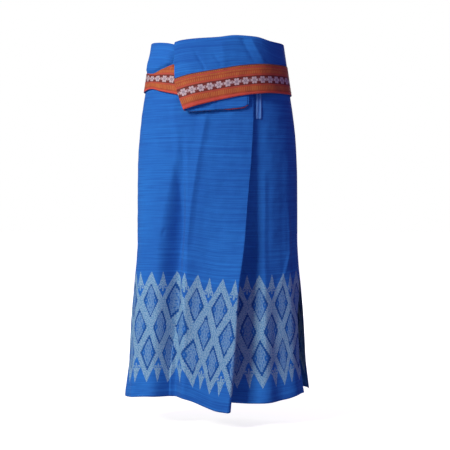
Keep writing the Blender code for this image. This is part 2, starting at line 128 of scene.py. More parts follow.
# How the cloth lies: the lap, the long hollow at its left (the valley), the soft folds and the slit.
drape = {
    "layer": 0.0015,
    "thickness": 0.0009,
    "seamGap": 0.0003,
    "foldGap": 0.0005,
    "liftWidth": 0.1,
    "liftPower": 1.6,
    "rollWidth": 0.035,
    "groove": {"depth": 0.0011, "middle": 0.0025, "half": 0.0045},  # over the ribbon, where it is sewn
    "bulge": {"out": 0.006, "sides": (-0.098, -0.12), "starts": (0.0, 0.006), "ends": (0.06, 0.02)},
    "flare": {"all": 0.0012, "flap": 0.003, "x": -0.06, "half": 0.07, "heights": (-0.035, -0.11)},
    "hollowOffset": 0.012,
    "hollowLeft": 0.06,
    "lapSlope": 0.024,
    "creasesFrom": 0.03,  # off the fold edge, where the underlap's own creases are whole
    "lapRight": (0.09, 0.15),
    "lap": table(
        "z foldEdge innerX apart standOff roll hollow hollowRight",
        (-0.85, 0.03, -0.072, 0.003, 0.024, 0.014, 0.018, 0.09),
        (-0.7, 0.043, -0.07, 0.003, 0.023, 0.011, 0.022, 0.085),
        (-0.553, 0.0505, -0.068, 0.003, 0.019, 0.007, 0.024, 0.08),
        (-0.452, 0.0625, -0.066, 0.003, 0.014, 0.0045, 0.02, 0.07),
        (-0.334, 0.072, -0.072, 0.0028, 0.008, 0.003, 0.009, 0.055),
        (-0.214, 0.082, -0.086, 0.0024, 0.004, 0.0024, 0.002, 0.04),
        (-0.12, 0.086, -0.097, 0.0018, 0.002, 0.0018, 0.001, 0.03),
        (-0.06, 0.086, -0.098, 0.0015, 0.001, 0.0015, 0.001, 0.03),
        (-0.01, 0.084, -0.098, 0.0015, 0.0, 0.0015, 0.0, 0.03),
        (0.06, 0.08, -0.098, 0.0015, 0.0, 0.0015, 0.0, 0.03),
    ),
    "valley": table(
        "z x left right depth",
        (-0.85, -0.114, 0.056, 0.032, 0.034),
        (-0.611, -0.104, 0.05, 0.027, 0.031),
        (-0.486, -0.1, 0.05, 0.023, 0.031),
        (-0.435, -0.094, 0.051, 0.02, 0.029),
        (-0.385, -0.089, 0.047, 0.018, 0.025),
        (-0.313, -0.086, 0.034, 0.016, 0.017),
        (-0.25, -0.084, 0.023, 0.014, 0.0085),
        (-0.2, -0.082, 0.016, 0.013, 0.0015),
        (-0.16, -0.081, 0.014, 0.012, 0.0),
        (0.06, -0.081, 0.014, 0.012, 0.0),
    ),
    "folds": [  # start height, angles and half widths at the start and the hem, depth at the hem
        (-0.42, -158.0, -152.0, 9.0, 9.0, 0.005),
        (-0.2, -60.0, -61.0, 8.0, 9.0, 0.0045),
        (-0.36, -48.0, -50.0, 8.0, 9.0, -0.0045),
        (-0.12, -30.0, -36.0, 9.0, 9.0, 0.005),
        (-0.38, 34.0, 40.0, 9.0, 9.0, 0.006),
        (-0.26, 56.0, 60.0, 9.0, 10.0, -0.01),
        (-0.34, 77.0, 78.0, 9.0, 10.0, 0.009),
        (-0.18, 97.0, 98.0, 9.0, 10.0, -0.012),
        (-0.3, 117.0, 117.0, 9.0, 10.0, 0.009),
        (-0.22, 138.0, 135.0, 9.0, 9.0, -0.01),
    ],
    "slit": table(
        "z front back",
        (-0.85, -20.0, -5.0),
        (-0.79, -23.5, -4.0),
        (-0.7, -25.0, -4.0),
        (-0.62, -24.5, -4.5),
        (-0.56, -16.0, -7.5),
        (-0.51, -9.5, -8.9),
        (-0.48, -9.0, -9.0),
        (0.06, -9.0, -9.0),
    ),
    "ripplesBelow": (0.0, -0.1),
    "ripplesInside": 0.3,  # how far they are shifted on the underlap
    "ripplesRadius": 0.2,  # makes a length of the angle on the back
    "backRipples": ((-0.1, 0.2), (2.95, 2.7)),  # angles over which they fade towards the seams
    "ripples": [  # height, waves per metre across and up, start: the small unevenness of worn cloth
        (0.00016, 27.0, 6.0, 0.4),
        (0.00018, -17.0, 11.0, 2.1),
        (0.00008, 43.0, -9.0, 4.0),
        (0.00016, 9.0, 23.0, 5.2),
        (0.00008, -31.0, 37.0, 1.3),
    ],
}

# Creases: height, how far they reach to the viewer's left and right, the shares of their length over
# which they fade in and out, and a path of (x, z).
creases = {
    "sharpness": 1.5,
    "outer": [
        (0.0036, 0.02, 0.014, 0.1, 0.35, [  # the hidden fold of the lap presses through
            (-0.022, -0.112), (-0.0362, -0.1882), (-0.048, -0.2507), (-0.0542, -0.294),
            (-0.0622, -0.3517), (-0.0669, -0.407), (-0.0705, -0.4498), (-0.0717, -0.52)]),
        (-0.0018, 0.006, 0.006, 0.4, 0.4, [(-0.1265, -0.402), (-0.132, -0.414), (-0.1365, -0.429)]),
    ],
    "inner": [
        (0.0026, 0.024, 0.011, 0.3, 0.35, [
            (0.115, -0.19), (0.1156, -0.3153), (0.1156, -0.4145), (0.1154, -0.5087),
            (0.1161, -0.62), (0.118, -0.84)]),
        (0.0026, 0.006, 0.008, 0.3, 0.4, [
            (0.1715, -0.34), (0.1737, -0.4263), (0.1737, -0.4663), (0.1681, -0.493),
            (0.1629, -0.5172), (0.1494, -0.5582)]),
    ],
    "turned": [
        (-0.003, 0.007, 0.005, 0.5, 0.05, [
            (-0.056, 0.03), (-0.048, 0.012), (-0.037, -0.006), (-0.0275, -0.0235)]),
        (-0.0028, 0.007, 0.006, 0.4, 0.2, [
            (-0.012, 0.02), (-0.004, 0.006), (0.0064, -0.0048), (0.012, -0.018)]),
        (-0.004, 0.018, 0.004, 0.6, 0.1, [  # beside the edge of the flap
            (-0.104, 0.02), (-0.103, -0.002), (-0.1015, -0.022)]),
        (-0.0014, 0.0024, 0.0024, 0.1, 0.01, [  # the seam on what shows under the flap
            (-0.0016, -0.094), (-0.0014, -0.124)]),
        (0.0028, 0.012, 0.014, 0.1, 0.3, [
            (0.075, 0.06), (0.086, 0.036), (0.099, 0.012), (0.116, -0.008)]),
        (-0.0022, 0.012, 0.01, 0.1, 0.3, [
            (0.056, 0.06), (0.066, 0.034), (0.08, 0.008), (0.096, -0.01)]),
        (0.0034, 0.04, 0.05, 0.3, 0.3, [(0.006, 0.06), (0.014, 0.02), (0.024, -0.02)]),
    ],
    "tuck": {  # a sharp fold in the border, where the cloth steps out to the right
        "height": 0.007,
        "width": 0.0045,
        "relief": 0.05,
        "fades": (0.25, 0.25),
        "path": [(-0.085, -0.448), (-0.088, -0.5), (-0.0945, -0.57), (-0.1005, -0.62),
                 (-0.109, -0.665), (-0.117, -0.705), (-0.1225, -0.76), (-0.125, -0.845)],
    },
}


# The distance from a path that runs down, positive to the viewer's right, and how far along it.
def alongPath(x, z, path):
    path = np.array(path)
    size = np.linalg.norm(np.diff(path, axis=0), axis=1)
    nearest, share, done = np.full(np.shape(x), np.inf), 0 * x, 0.0
    for start, end, length in zip(path[:-1], path[1:], size):
        way = (end - start) / length
        t = np.clip((x - start[0]) * way[0] + (z - start[1]) * way[1], 0, length)
        offX, offZ = x - start[0] - way[0] * t, z - start[1] - way[1] * t
        off = np.hypot(offX, offZ) * np.where(way[0] * offZ < way[1] * offX, -1, 1)
        closer = np.abs(off) < np.abs(nearest)
        nearest, share = np.where(closer, off, nearest), np.where(closer, (done + t) / size.sum(), share)
        done += length
    return nearest, share


def faded(share, fadeIn, fadeOut):
    return ramp(0, fadeIn, share) * (1 - ramp(1 - fadeOut, 1, share))


def creased(x, z, kind):
    out = 0 * x
    for height, left, right, fadeIn, fadeOut, path in creases[kind]:
        off, share = alongPath(x, z, path)
        crest = np.clip(1 - np.abs(off) / np.where(off < 0, left, right), 0, 1) ** creases["sharpness"]
        out = out + height * faded(share, fadeIn, fadeOut) * crest
    return out


def tucked(x, z):
    tuck = creases["tuck"]
    off, share = alongPath(x, z, tuck["path"])
    step = ramp(-tuck["width"] / 2, tuck["width"] / 2, off) * (1 - ramp(tuck["width"], tuck["relief"], off))
    return tuck["height"] * faded(share, *tuck["fades"]) * step


def rippled(x, z, heights=drape["ripplesBelow"]):
    waves = sum(height * np.sin(2 * math.pi * (across * x + up * z) + start)
                for height, across, up, start in drape["ripples"])
    return waves * ramp(*heights, z)


def foldsOut(angle, z):
    out = 0 * angle
    for startZ, startAngle, hemAngle, startHalf, hemHalf, depth in drape["folds"]:
        grown = np.clip((startZ - z) / (startZ - figure["hem"]), 0, 1)
        middle, half = startAngle + (hemAngle - startAngle) * grown, startHalf + (hemHalf - startHalf) * grown
        out = out + depth * np.sin(grown * math.pi / 2) * hump((np.degrees(angle) - middle) / half)
    return out


def lap(name, z):
    return read(drape["lap"], name, z)


def valley(name, z):
    return read(drape["valley"], name, z)


def foldX(z):
    return lap("foldEdge", z) - lap("roll", z) / 2


def lapLeft(x, z):
    inner = lap("innerX", z)
    return ramp(inner - drape["lapSlope"], inner - 2 * drape["layer"], x)


def outerOut(angle, z):
    x = sideOf(angle, z)
    lowest = valley("x", z)
    half = np.where(x < lowest, valley("left", z), valley("right", z))
    lifted = np.clip((x - foldX(z)) / drape["liftWidth"] + 1, 0, 1) ** drape["liftPower"]
    worn = creased(x, z, "outer") + tucked(x, z) + rippled(x, z)
    out = 2 * lap("apart", z) * lapLeft(x, z) + lap("standOff", z) * lifted
    return out - valley("depth", z) * hump((x - lowest) / half) + foldsOut(angle, z) + worn


def middleOut(angle, z):
    edge, apart = foldX(z), lap("apart", z)
    parting = ramp(edge - drape["rollWidth"], edge, sideOf(angle, z))
    return outerOut(angle, z) - apart - (lap("roll", z) - apart) * parting


def innerOut(angle, z):
    x, edge = sideOf(angle, z), foldX(z)
    deepest = edge + drape["hollowOffset"]
    beside = (x - deepest) / np.where(x < deepest, drape["hollowLeft"], lap("hollowRight", z))
    worn = creased(x, z, "inner") + rippled(x + drape["ripplesInside"], z)
    own = foldsOut(angle, z) - lap("hollow", z) * hump(beside)
    own = own + worn * ramp(edge, edge + drape["creasesFrom"], x)
    nested = outerOut(angle, z) - 2 * lap("apart", z)
    low = np.minimum(own, nested)
    parted = ramp(edge - 2 * drape["rollWidth"], edge - drape["hollowOffset"], x)
    return nested * (1 - parted) + low * parted + (own - low) * ramp(edge, edge + drape["hollowOffset"], x)


def backOut(angle, z):
    right, left = drape["backRipples"]
    awayFromSeams = ramp(*right, angle) * ramp(*left, angle)
    return foldsOut(angle, z) + rippled(drape["ripplesRadius"] * angle, z) * awayFromSeams


def overhang(x, above):  # at the left the blue bulges over the ribbon's upper edge
    bulge = drape["bulge"]
    high = ramp(*bulge["starts"], above) * ramp(*bulge["ends"], above)
    return bulge["out"] * ramp(*bulge["sides"], x) * high


def groove(above):
    return drape["groove"]["depth"] * hump((above - drape["groove"]["middle"]) / drape["groove"]["half"])


def turnedLap(angle, z):
    x = sideOf(angle, z)
    return lapLeft(x, z) * (1 - ramp(*drape["lapRight"], x))


# What is turned down over the tie.
def outerTurned(angle, z):
    return outerOut(angle, z) + 2 * drape["layer"]


def middleTurned(angle, z):
    return outerTurned(angle, z) + 3 * drape["layer"]


def innerTurned(angle, z):
    return 2 * drape["layer"] + turnedLap(angle, z) * 6 * drape["layer"]


def backTurned(angle, z):
    return 2 * drape["layer"] + 0 * angle


def leftEnds(z):
    return math.radians(figure["leftSeam"]) + 0 * z, frontAngle(lap("innerX", z), z)


def lapEnds(z):
    return frontAngle(lap("innerX", z), z), frontAngle(foldX(z), z)


def rightEnds(z):
    return frontAngle(foldX(z), z), np.radians(read(drape["slit"], "front", z))


def backEnds(z):
    gap = drape["seamGap"] / read(figure["sections"], "front", z)
    return np.radians(read(drape["slit"], "back", z)) + gap, math.radians(figure["backLeftSeam"]) - gap


# The layers' edges: how far tops and hems lie above the figure's own, and the lower edges of what is
# turned down, with the height of the ribbon there and the part of its pattern that shows. Lean moves
# the lap's columns aside, more towards its left and right ends.
edges = {
    "outerHem": table("x rise", (-0.23, -0.002), (-0.16, 0.006), (-0.09, 0.006), (-0.065, 0.001),
        (-0.03, -0.012), (0.0, -0.022), (0.03, -0.025)),
    "middleHem": table("x rise", (-0.072, 0.008), (-0.02, 0.0), (0.03, -0.022)),
    "innerHem": table("x rise", (-0.072, 0.01), (-0.02, 0.002), (0.03, -0.006), (0.08, -0.008),
        (0.13, -0.006), (0.17, 0.0), (0.195, 0.008), (0.222, 0.012)),
    "backHem": table("x rise", (-0.228, -0.002), (-0.1, 0.006), (0.1, 0.01), (0.23, 0.013)),
    "leftTop": table("x rise", (-0.165, 0.005), (-0.12, -0.002), (-0.098, -0.007), (0.08, -0.004)),
    "frontTop": table("x rise", (-0.1, -0.006), (-0.085, -0.002), (-0.055, 0.001), (0.0, 0.004),
        (0.045, 0.009), (0.09, 0.007), (0.13, 0.002), (0.165, 0.002)),
    "backTop": table("x rise", (-0.165, 0.005), (0.0, 0.004), (0.165, 0.002)),
    "leftEdge": table("x z ribbon from to", (-0.178, -0.068, 0.046, 0.003, 0.05),
        (-0.16, -0.064, 0.038, 0.004, 0.055), (-0.137, -0.071, 0.054, 0.005, 0.064),
        (-0.098, -0.081, 0.073, 0.004, 0.075), (-0.03, -0.097, 0.075, 0.002, 0.075),
        (0.038, -0.113, 0.075, 0.0, 0.075), (0.07, -0.104, 0.075, 0.0, 0.075)),
    "middleEdge": table("x z ribbon from to", (-0.08, -0.1215, 0.076, 0.0, 0.075),
        (-0.06, -0.1245, 0.076, 0.0, 0.075), (-0.031, -0.123, 0.076, 0.0, 0.075),
        (0.0, -0.1205, 0.075, 0.0, 0.075), (0.038, -0.117, 0.075, 0.0, 0.075),
        (0.064, -0.113, 0.075, 0.0, 0.075), (0.07, -0.108, 0.075, 0.0, 0.075)),
    "frontEdge": table("x z ribbon from to", (-0.08, -0.1215, 0.076, 0.0, 0.075),
        (-0.041, -0.109, 0.076, 0.0, 0.075), (0.019, -0.094, 0.075, 0.001, 0.075),
        (0.067, -0.0845, 0.073, 0.003, 0.075), (0.128, -0.0775, 0.071, 0.004, 0.075),
        (0.178, -0.0765, 0.071, 0.004, 0.075)),
    "backEdge": table("x z ribbon from to", (-0.178, -0.068, 0.046, 0.003, 0.05),
        (-0.11, -0.07, 0.066, 0.003, 0.07), (0.0, -0.072, 0.073, 0.004, 0.075),
        (0.178, -0.0765, 0.071, 0.004, 0.075)),
    "lean": table("z left right", (-0.13, 0.045, -0.021), (-0.08, 0.022, -0.017),
        (-0.045, 0.009, -0.01), (0.04, 0.0, 0.0)),
    "leanLeft": (0.03, -0.097),
    "leanRight": (0.0, 0.079),
}

fineness = {
    "rows": 216,
    "left": 116,
    "lap": 62,
    "right": 82,
    "back": 150,
    "turn": 8,
    "plain": 18,
    "ribbon": 20,
}


def settled(height, x, top, hem):
    up = np.clip((height - figure["topFade"]) / (figure["top"] - figure["topFade"]), 0, 1)
    down = np.clip((height - figure["hemFade"]) / (figure["hem"] - figure["hemFade"]), 0, 1)
    return height + read(edges[top], "rise", x) * up + read(edges[hem], "rise", x) * down


def leaned(angle, z, left, right):
    if not (left or right):
        return angle
    x = sideOf(angle, z)
    shift = left * read(edges["lean"], "left", z) * ramp(*edges["leanLeft"], x)
    return frontAngle(x + shift + right * read(edges["lean"], "right", z) * ramp(*edges["leanRight"], x), z)


def flared(x, z, loose):  # how far the turned-down cloth stands off towards its lower edge
    flare = drape["flare"]
    flap = flare["flap"] * hump((x - flare["x"]) / flare["half"])
    return (flare["all"] + flap) * ramp(*flare["heights"], z) * loose


def stretchOf(columns, endsOf, outOf, turnedOf, top, hem, edge, loose=1.0, lean=(0, 0), crowd=0.0):
    share = np.linspace(0, 1, columns + 1)
    share = share + crowd * share * (1 - share)  # crowds the columns towards the end
    height = np.linspace(figure["hem"], figure["top"], fineness["rows"] + 1)[:, None] + 0 * share
    z = height
    for _ in range(4):
        start, end = endsOf(z)
        angle = start + (end - start) * share
        z = settled(height, sideOf(angle, z), top, hem)
    out = outOf(angle, z)
    rows, up = list(onFigure(angle, z, out)), list(height - figure["hem"])
    angle, spring, inside = angle[-1], z[-1], out[-1]
    outside = turnedOf(angle, spring)
    radius = (outside - inside) / 2
    for step in range(1, fineness["turn"] + 1):
        over = math.pi * step / fineness["turn"]
        rows.append(onFigure(angle, spring + radius * math.sin(over), inside + radius * (1 - math.cos(over))))
        up.append(up[-1] + radius * math.pi / fineness["turn"])
    lower = spring
    for _ in range(4):
        x = sideOf(leaned(angle, lower, *lean), lower)
        lower = read(edges[edge], "z", x)
    upper = lower + read(edges[edge], "ribbon", x)
    levels = [spring + (upper - spring) * (i + 1) / fineness["plain"] for i in range(fineness["plain"])]
    levels += [upper + (lower - upper) * (i + 1) / fineness["ribbon"] for i in range(fineness["ribbon"])]
    last = spring
    for z in levels:
        turned = leaned(angle, z, *lean)
        x = sideOf(turned, z)
        worn = creased(x, z, "turned") + rippled(x, z, (figure["top"], 0.0))
        worn = worn + overhang(x, z - upper) - groove(z - upper)
        front = ramp(0.0, -0.3, np.sin(turned))
        rows.append(onFigure(turned, z, outside + (flared(x, z, loose) + worn) * front))
        up.append(up[-1] + last - z)
        last = z
    return np.array(rows), np.array(up)


def rolled(first, second, toSide):  # the columns of a rolled edge between two layers
    middle, arm = (first + second) / 2, (first - second) / 2
    reach = np.linalg.norm(arm, axis=-1, keepdims=True) * [toSide, 0, 0]
    turns = [math.pi * step / fineness["turn"] for step in range(1, fineness["turn"] + 1)]
    return np.stack([middle + arm * math.cos(turn) + reach * math.sin(turn) for turn in turns], axis=1)


def joined(*grids):
    return np.concatenate(grids, axis=1)


def drawnIn(points):
    points = points.copy()
    for end, beside in ((0, 1), (-1, -2)):
        way = points[:, beside] - points[:, end]
        points[:, end] += way * drape["foldGap"] / np.linalg.norm(way, axis=-1, keepdims=True)
    return points


def course(points, axis):
    step = np.diff(points, axis=axis)
    step /= np.linalg.norm(step, axis=-1, keepdims=True)
    first, last = (step[:1], step[-1:]) if axis == 0 else (step[:, :1], step[:, -1:])
    return (np.concatenate([first, step], axis=axis) + np.concatenate([step, last], axis=axis)) / 2


def moved(points, distance):  # off the cloth's face, with mitred bends
    across, along = course(points, 1), course(points, 0)
    stretched = np.linalg.norm(across, axis=-1) * np.linalg.norm(along, axis=-1)
    normal = np.cross(along, across)
    normal /= np.linalg.norm(normal, axis=-1, keepdims=True)
    return points + normal * (distance / np.maximum(stretched, 0.6))[..., None]


turn = fineness["turn"]
middleHow = (middleOut, middleTurned, "leftTop", "middleHem", "middleEdge")
outerHow = (outerOut, outerTurned, "leftTop", "outerHem", "leftEdge")
innerHow = (innerOut, innerTurned, "frontTop", "innerHem", "frontEdge", 2.4)
middle, middleUp = stretchOf(fineness["lap"], lapEnds, *middleHow, lean=(1, 1))
leftPart, leftUp = stretchOf(fineness["left"], leftEnds, *outerHow, crowd=0.55)
lapPart, lapUp = stretchOf(fineness["lap"], lapEnds, *outerHow, lean=(0, 1))
outer = joined(leftPart[:, :-1], lapPart, rolled(lapPart[:, -1], middle[:, -1], 1))
outerUp = joined(leftUp[:, :-1], lapUp, np.repeat(lapUp[:, -1:], turn, axis=1))
underPart, underUp = stretchOf(fineness["lap"], lapEnds, *innerHow, lean=(1, 0))
rightPart, rightUp = stretchOf(fineness["right"], rightEnds, *innerHow)
inner = joined(rolled(underPart[:, 0], middle[:, 0], -1)[:, ::-1], underPart[:, :-1], rightPart)
innerUp = joined(np.repeat(underUp[:, :1], turn, axis=1), underUp[:, :-1], rightUp)
back, backUp = stretchOf(fineness["back"], backEnds, backOut, backTurned, "backTop", "backHem", "backEdge")
print("layers shaped", outer.shape, inner.shape, middle.shape, back.shape)


# The place of each point along the cloth, in metres, so that weave and border follow the folds.
border = {
    "period": 0.061,  # from diamond to diamond
    "pitch": 0.0635,  # from row to row
    "middle": 0.171,  # the middle row above the hem
    "firstAxis": -0.5,
    "outer": {  # for heights in rows off the middle one: where the diamonds' axes cross the figure
        2.15: (-0.1882, -0.1591, -0.1313, -0.0984, -0.0781, -0.0456, -0.0177, 0.0144, 0.0443),
        1.0: (-0.1893, -0.1613, -0.1335, -0.1074, -0.0792, -0.052, -0.0229, 0.005, 0.0363),
        0.0: (-0.1912, -0.1629, -0.1374, -0.1167, -0.0879, -0.056, -0.0307, -0.0063, 0.0216),
        -1.0: (-0.1959, -0.168, -0.142, -0.1189, -0.0924, -0.0597, -0.0349, -0.0126, 0.0125),
        -2.15: (-0.2021, -0.1719, -0.1458, -0.1218, -0.0898, -0.0584, -0.0416, -0.0191, 0.0032),
    },
    "inner": {
        2.15: (0.0723, 0.1016, 0.1325, 0.1605, 0.1777),
        1.0: (0.0729, 0.1021, 0.132, 0.1577, 0.1782),
        0.0: (0.0745, 0.1035, 0.1303, 0.1572, 0.1782),
        -1.0: (0.075, 0.1043, 0.1372, 0.1612, 0.1762),
        -2.15: (0.0784, 0.11, 0.1432, 0.164, 0.1819),
    },
}


def lengthsAlong(points):
    step = np.linalg.norm(np.diff(points, axis=1), axis=-1)
    return np.concatenate([0 * step[:, :1], np.cumsum(step, axis=1)], axis=1)


# The length along each row, stretched so that the diamonds' axes lie where they should.
def placed(points, up, columns, axes):
    lengths = lengthsAlong(points)
    bodyRows = fineness["rows"] + 1
    levels = sorted(axes)
    crossings = list(zip(*(axes[level] for level in levels)))
    across = np.zeros(points.shape[:2])
    for i in range(bodyRows):
        level = (up[i, 0] - border["middle"]) / border["pitch"]
        wanted = [np.interp(level, levels, crossing) for crossing in crossings]
        atAxes = np.interp(wanted, points[i, columns, 0], lengths[i, columns])
        cloth = (border["firstAxis"] + 0.5 * np.arange(len(wanted))) * border["period"]
        u = np.interp(lengths[i], atAxes, cloth)
        u = np.where(lengths[i] < atAxes[0], cloth[0] + lengths[i] - atAxes[0], u)
        across[i] = np.where(lengths[i] > atAxes[-1], cloth[-1] + lengths[i] - atAxes[-1], u)
    across[bodyRows:] = across[bodyRows - 1]
    return np.stack([across, up], axis=-1)


def measured(points, up, start):
    across = lengthsAlong(points)
    across[fineness["rows"] + 1 :] = across[fineness["rows"]]
    return np.stack([start + across, up], axis=-1)


def followed(strip, edge, start):  # along a ribbon and across it, by the part that shows
    along = start + np.repeat(lengthsAlong(strip).mean(axis=0, keepdims=True), len(strip), axis=0)
    low, high = (read(edges[edge], side, strip[-1, :, 0]) for side in ("from", "to"))
    return np.stack([along, low + (high - low) * np.linspace(1, 0, len(strip))[:, None]], axis=-1)


clothPlace = {
    "outer": placed(outer, outerUp, slice(fineness["left"] // 6, -turn), border["outer"]),
    "inner": placed(inner, innerUp, slice(turn + fineness["lap"], None), border["inner"]),
    "middle": measured(middle, middleUp, 0.31),
    "back": measured(back, backUp, 0.02),
}


def addObject(name, data):
    made = bpy.data.objects.new(name, data)
    bpy.context.scene.collection.objects.link(made)
    return made


# One way to add a node: its kind, its settings, and the values or links of its sockets.
def addNode(tree, kind, settings, sockets):
    made = tree.nodes.new(kind)
    for setting, value in settings.items():
        setattr(made, setting, value)
    for key, value in sockets.items():
        if isinstance(value, bpy.types.NodeSocket):
            tree.links.new(value, made.inputs[key])
        else:
            made.inputs[key].default_value = value
    return made


# Shader maths: a wrapped socket that adds its Math nodes when values are put together.
def maths(operation):
    return lambda wire, *others: wire.paint.node("ShaderNodeMath", {"operation": operation}, wire, *others)


class Wire:
    def __init__(self, paint, socket):
        self.paint, self.socket = paint, socket

    __add__ = __radd__ = maths("ADD")
    __mul__ = __rmul__ = maths("MULTIPLY")
    __sub__, __truediv__, __mod__ = maths("SUBTRACT"), maths("DIVIDE"), maths("FLOORED_MODULO")
    __lt__, __gt__, __abs__ = maths("LESS_THAN"), maths("GREATER_THAN"), maths("ABSOLUTE")
    least, most, floor = maths("MINIMUM"), maths("MAXIMUM"), maths("FLOOR")
    root, cosine, angle = maths("SQRT"), maths("COSINE"), maths("ARCTAN2")

    def __rsub__(self, other):
        return self.paint.node("ShaderNodeMath", {"operation": "SUBTRACT"}, other, self)

    def stepped(self, size):  # as threads make it
        return (self / size).floor() * size + size / 2

    def soft(self, low, high):  # 0 up to low, 1 from high on
        smooth = {"interpolation_type": "SMOOTHSTEP"}
        return self.paint.node("ShaderNodeMapRange", smooth, self, low, high, 0.0, 1.0)


class Paint:
    def __init__(self, name, finish):
        self.material = bpy.data.materials.new(name)
        self.material.use_nodes = True
        self.tree = self.material.node_tree
        self.shader = self.tree.nodes["Principled BSDF"]
        for socket, value in finish.items():
            self.shader.inputs[socket].default_value = value
        place = self.node("ShaderNodeUVMap", {"uv_map": "cloth"})
        apart = self.node("ShaderNodeSeparateXYZ", {}, place).socket.node
        self.across, self.up = Wire(self, apart.outputs[0]), Wire(self, apart.outputs[1])

    def node(self, kind, settings, *values, **named):
        given = {**dict(enumerate(values)), **named}
        sockets = {key: value.socket if isinstance(value, Wire) else value
                   for key, value in given.items() if value is not None}
        made = addNode(self.tree, kind, settings, sockets)
        return Wire(self, next(socket for socket in made.outputs if socket.enabled))

    def mixed(self, share, first, second):  # of colours, whose sockets are the seventh and the eighth
        first, second = ((*one, 1) if isinstance(one, tuple) else one for one in (first, second))
        return self.node("ShaderNodeMix", {"data_type": "RGBA"}, share, *[None] * 5, first, second)

    def noise(self, across, up, detail=2.0, roughness=0.5):
        at = self.node("ShaderNodeCombineXYZ", {}, self.across * across, self.up * up, 0.0)
        flat = {"noise_dimensions": "2D"}
        return self.node("ShaderNodeTexNoise", flat, Vector=at, Scale=1.0, Detail=detail, Roughness=roughness)

    def finished(self, colour, roughness, height, distance, strength):
        bump = self.node("ShaderNodeBump", {}, Height=height, Distance=distance, Strength=strength)
        self.tree.links.new(colour.socket, self.shader.inputs["Base Color"])
        self.tree.links.new(bump.socket, self.shader.inputs["Normal"])
        self.shader.inputs["Roughness"].default_value = roughness
        return self.material


def anyOf(masks):
    return functools.reduce(Wire.most, masks)


def threads(paint, pitch):  # plain weave: crossing threads that pass over and under each other
    warp = abs((paint.across / pitch) % 1 - 0.5) * 2
    weft = abs((paint.up / pitch) % 1 - 0.5) * 2
    return (1 - warp * warp) * 0.5 + (1 - weft * weft) * 0.5


blueCloth = {
    "thread": 0.0009,
    "hem": 0.022,
    "hemLine": (0.0016, 0.0),
    "fine": (7.0, 420.0, 1.0),  # noise: waves per metre across and up the cloth, detail, roughness
    "broad": (2.6, 165.0, 2.0, 0.6),
    "worn": (7.0, 5.0, 3.0, 0.6),
    "fleck": (380.0, 300.0, 1.0),
    "light": (0.018, 0.16, 0.53),
    "plain": (0.015, 0.126, 0.45),
    "dark": (0.01, 0.088, 0.37),
    "line": (0.007, 0.05, 0.2),
    "pale": (0.205, 0.35, 0.5),
    "paleDark": (0.082, 0.225, 0.415),
    "finish": {"Metallic": 0.0, "Sheen Weight": 0.04, "Sheen Roughness": 0.4, "Specular IOR Level": 0.12},
}


def bluePaint(name, withBorder):
    paint = Paint(name, blueCloth["finish"])
    fine, broad, worn = (paint.noise(*blueCloth[kind]) for kind in ("fine", "broad", "worn"))
    tone = (broad - 0.5) * 0.6 + (fine - 0.5) * 0.7 + (worn - 0.5) * 0.5 + 0.5
    dye = paint.mixed(tone.soft(0.25, 0.55), blueCloth["dark"], blueCloth["plain"])
    dye = paint.mixed(tone.soft(0.5, 0.8), dye, blueCloth["light"])
    slub = broad.soft(0.54, 0.6) - broad.soft(0.6, 0.67)  # the thick threads across the cloth
    dye = paint.mixed(slub * 0.8, dye, blueCloth["dark"])
    height = threads(paint, blueCloth["thread"]) * 0.35 + fine * 0.7 + broad * 0.6
    if withBorder:
        pale, dim, edged = diamonds(paint)
        fleck = paint.noise(*blueCloth["fleck"])
        thread = paint.mixed(fleck.soft(0.38, 0.6), blueCloth["paleDark"], blueCloth["pale"])
        dye = paint.mixed(edged * 0.75, dye, blueCloth["line"])
        dye = paint.mixed(pale * (1 - dim * 0.38), dye, thread)
        height = height + pale * 0.5
    seam = abs(paint.up - blueCloth["hem"]).soft(*blueCloth["hemLine"])  # the hem's turn shows faintly
    return paint.finished(dye, 0.82, height - seam * 0.8, 0.0005, 0.55)


# The border's pattern. Off the middle of a diamond, 1 is half a period across and a row up.
diamond = {
    "fineStep": (0.0009, 0.0018),  # steps of the woven edges in metres, across and up
    "broadStep": (0.0025, 0.005),
    "reach": 1.15,  # how far the border goes from the nearest middle of a diamond
    "band": 0.7,
    "core": 0.57,
    "corner": (0.4, 0.27),  # the core stays blue past this line at its sides: slope and start
    "lights": [(0.43, 0.0, 0.042), (0.35, 0.13, 0.042)],  # aside, above, size
    "darks": [(0.19, 0.13, 0.048), (0.1, 0.27, 0.048), (0.12, 0.0, 0.04)],
    "spike": {"from": 1.6, "tip": 2.14, "slope": 0.56},
    "curl": {"aside": 0.24, "above": 1.56, "flatness": (1.6, 2.6), "ring": (0.004, 0.026)},
    "stem": {"half": 0.07, "from": 1.4, "to": 1.62},
}


